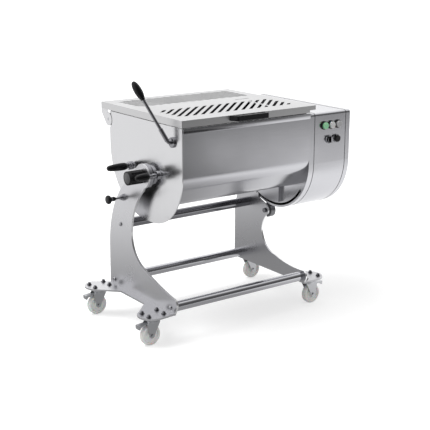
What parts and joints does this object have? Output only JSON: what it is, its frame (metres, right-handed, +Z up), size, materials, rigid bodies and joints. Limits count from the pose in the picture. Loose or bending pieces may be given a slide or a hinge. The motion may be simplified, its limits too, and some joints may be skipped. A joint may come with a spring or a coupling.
{
  "type": "spice mixer",
  "caption": "Twin-shaft trough mixer in stainless steel with a slotted hinged lid and a drive housing, tilting in a wheeled frame of side plates and cross tubes.",
  "frame": {"origin": "on the floor under the middle of the whole machine's bounding box", "axes": "+X towards the drive housing, -Y towards the operator, +Z up"},
  "size_m": [1.212, 0.752, 1.2082],
  "materials": {
    "stainless": "brushed",
    "polished_tube": "polished",
    "zinc_steel": "zinc plated",
    "black_plastic": "fine grain",
    "white_nylon": "smooth",
    "black_roller": "smooth",
    "green_button": "gloss",
    "white_button": "gloss",
    "grey_button": "gloss",
    "dark_button": "gloss",
    "selector_silver": "satin",
    "motor_paint": "satin",
    "gear_case": "cast",
    "seal_rubber": "matt"
  },
  "bodies": {
    "frame": {"left_side_plate": "stainless", "right_side_plate": "stainless", "upper_cross_tube": "polished_tube", "rear_cross_tube": "polished_tube", "front_cross_tube": "polished_tube", "tube_plugs": "stainless", "frame_screws": "stainless", "pivot_bearing": "stainless", "index_plunger_housing": "stainless", "roller_bolt": "stainless", "slot_guide_pin": "stainless", "caster_top_plates": "zinc_steel", "caster_bolts": "zinc_steel"},
    "lock_knob": {"pivot_knob": "black_plastic"},
    "plunger": {"index_plunger": "stainless", "index_plunger_knob": "black_plastic"},
    "front_paddle": {"front_paddle_shaft": "stainless"},
    "rear_paddle": {"rear_paddle_shaft": "stainless"},
    "front_spindle": {"front_bearing_spindle": "stainless", "front_spindle_grip": "black_plastic"},
    "rear_spindle": {"rear_bearing_spindle": "stainless", "rear_spindle_grip": "black_plastic"},
    "lid": {"lid_panel": "stainless", "lid_ears": "stainless", "lid_hinge_shaft": "stainless", "lid_handle": "black_plastic"},
    "start": {"start_button": "green_button"},
    "stop": {"stop_button": "white_button"},
    "reset": {"reset_button": "grey_button"},
    "inch": {"inch_button": "dark_button"},
    "selector": {"selector_knob": "selector_silver"},
    "roller": {"support_roller": "black_roller"},
    "front_left_caster": {"front_left_fork": "zinc_steel"},
    "front_left_roll": {"front_left_wheel": "white_nylon"},
    "front_left_brake": {"front_left_brake_pedal": "zinc_steel"},
    "rear_left_caster": {"rear_left_fork": "zinc_steel"},
    "rear_left_roll": {"rear_left_wheel": "white_nylon"},
    "rear_left_brake": {"rear_left_brake_pedal": "zinc_steel"},
    "front_right_caster": {"front_right_fork": "zinc_steel"},
    "front_right_roll": {"front_right_wheel": "white_nylon"},
    "front_right_brake": {"front_right_brake_pedal": "zinc_steel"},
    "rear_right_caster": {"rear_right_fork": "zinc_steel"},
    "rear_right_roll": {"rear_right_wheel": "white_nylon"},
    "rear_right_brake": {"rear_right_brake_pedal": "zinc_steel"},
    "tub": {"trough_shell": "stainless", "left_end_plate": "stainless", "housing_inner_cap": "stainless", "housing_wrap": "stainless", "housing_end_cap": "stainless", "drive_cover": "stainless", "pivot_trunnion": "stainless", "index_bosses": "stainless", "spindle_bushes": "stainless", "shaft_seals": "seal_rubber", "gearbox": "gear_case", "drive_motor": "motor_paint", "tilt_lever": "stainless", "lever_grip": "black_plastic", "hinge_lugs": "stainless", "switch_bezels": "stainless"}
  },
  "joints": [
    {"name": "tub_tilt", "type": "hinge", "parent": "frame", "child": "tub", "pos_m": [-0.398, -0.076, 0.747], "axis": [1, 0, 0], "range_deg": [0, 88]},
    {"name": "lid_hinge", "type": "hinge", "parent": "tub", "child": "lid", "pos_m": [0.104, 0.31, 0.957], "axis": [-1, 0, 0], "range_deg": [0, 90]},
    {"name": "lock_knob_turn", "type": "hinge", "parent": "tub", "child": "lock_knob", "pos_m": [-0.447, -0.076, 0.747], "axis": [1, 0, 0], "continuous": true},
    {"name": "plunger_slide", "type": "slide", "parent": "frame", "child": "plunger", "axis": [1, 0, 0], "range_m": [0, 0.008]},
    {"name": "front_paddle_spin", "type": "hinge", "parent": "tub", "child": "front_paddle", "pos_m": [0.344, -0.148, 0.76], "axis": [1, 0, 0], "continuous": true},
    {"name": "front_spindle_pull", "type": "slide", "parent": "tub", "child": "front_spindle", "axis": [-1, 0, 0], "range_m": [0, 0.06]},
    {"name": "rear_paddle_spin", "type": "hinge", "parent": "tub", "child": "rear_paddle", "pos_m": [0.344, 0.107, 0.76], "axis": [1, 0, 0], "continuous": true},
    {"name": "rear_spindle_pull", "type": "slide", "parent": "tub", "child": "rear_spindle", "axis": [-1, 0, 0], "range_m": [0, 0.06]},
    {"name": "start_press", "type": "slide", "parent": "tub", "child": "start", "axis": [0, 1, 0], "range_m": [0, 0.004], "stiffness_N_per_m": 300},
    {"name": "stop_press", "type": "slide", "parent": "tub", "child": "stop", "axis": [0, 1, 0], "range_m": [0, 0.004], "stiffness_N_per_m": 300},
    {"name": "reset_press", "type": "slide", "parent": "tub", "child": "reset", "axis": [0, 1, 0], "range_m": [0, 0.004], "stiffness_N_per_m": 300},
    {"name": "selector_turn", "type": "hinge", "parent": "tub", "child": "selector", "pos_m": [0.468, -0.338, 0.861], "axis": [0, 1, 0], "range_deg": [-45, 45]},
    {"name": "inch_press", "type": "slide", "parent": "tub", "child": "inch", "axis": [0, 1, 0], "range_m": [0, 0.004], "stiffness_N_per_m": 300},
    {"name": "roller_spin", "type": "hinge", "parent": "frame", "child": "roller", "pos_m": [0.344, -0.01777, 0.45291], "axis": [1, 0, 0], "continuous": true},
    {"name": "front_left_swivel", "type": "hinge", "parent": "frame", "child": "front_left_caster", "pos_m": [-0.522, -0.271, 0.139], "axis": [0, 0, 1], "continuous": true},
    {"name": "front_left_axle", "type": "hinge", "parent": "front_left_caster", "child": "front_left_roll", "pos_m": [-0.54, -0.271, 0.05], "axis": [0, 1, 0], "continuous": true},
    {"name": "front_left_pedal", "type": "hinge", "parent": "front_left_caster", "child": "front_left_brake", "pos_m": [-0.558, -0.271, 0.1047], "axis": [0, -1, 0], "range_deg": [0, 12], "stiffness_Nm_per_rad": 0.5},
    {"name": "rear_left_swivel", "type": "hinge", "parent": "frame", "child": "rear_left_caster", "pos_m": [-0.522, 0.228, 0.139], "axis": [0, 0, 1], "continuous": true},
    {"name": "rear_left_axle", "type": "hinge", "parent": "rear_left_caster", "child": "rear_left_roll", "pos_m": [-0.54, 0.228, 0.05], "axis": [0, 1, 0], "continuous": true},
    {"name": "rear_left_pedal", "type": "hinge", "parent": "rear_left_caster", "child": "rear_left_brake", "pos_m": [-0.558, 0.228, 0.1047], "axis": [0, -1, 0], "range_deg": [0, 12], "stiffness_Nm_per_rad": 0.5},
    {"name": "front_right_swivel", "type": "hinge", "parent": "frame", "child": "front_right_caster", "pos_m": [0.417, -0.271, 0.139], "axis": [0, 0, 1], "continuous": true},
    {"name": "front_right_axle", "type": "hinge", "parent": "front_right_caster", "child": "front_right_roll", "pos_m": [0.435, -0.271, 0.05], "axis": [0, 1, 0], "continuous": true},
    {"name": "front_right_pedal", "type": "hinge", "parent": "front_right_caster", "child": "front_right_brake", "pos_m": [0.453, -0.271, 0.1047], "axis": [0, 1, 0], "range_deg": [0, 12], "stiffness_Nm_per_rad": 0.5},
    {"name": "rear_right_swivel", "type": "hinge", "parent": "frame", "child": "rear_right_caster", "pos_m": [0.417, 0.228, 0.139], "axis": [0, 0, 1], "continuous": true},
    {"name": "rear_right_axle", "type": "hinge", "parent": "rear_right_caster", "child": "rear_right_roll", "pos_m": [0.435, 0.228, 0.05], "axis": [0, 1, 0], "continuous": true},
    {"name": "rear_right_pedal", "type": "hinge", "parent": "rear_right_caster", "child": "rear_right_brake", "pos_m": [0.453, 0.228, 0.1047], "axis": [0, 1, 0], "range_deg": [0, 12], "stiffness_Nm_per_rad": 0.5}
  ],
  "couplings": [
    {"joint": "rear_paddle_spin", "follows": "front_paddle_spin", "ratio": -1},
    {"joint": "roller_spin", "follows": "tub_tilt", "ratio": -6.9867}
  ]
}
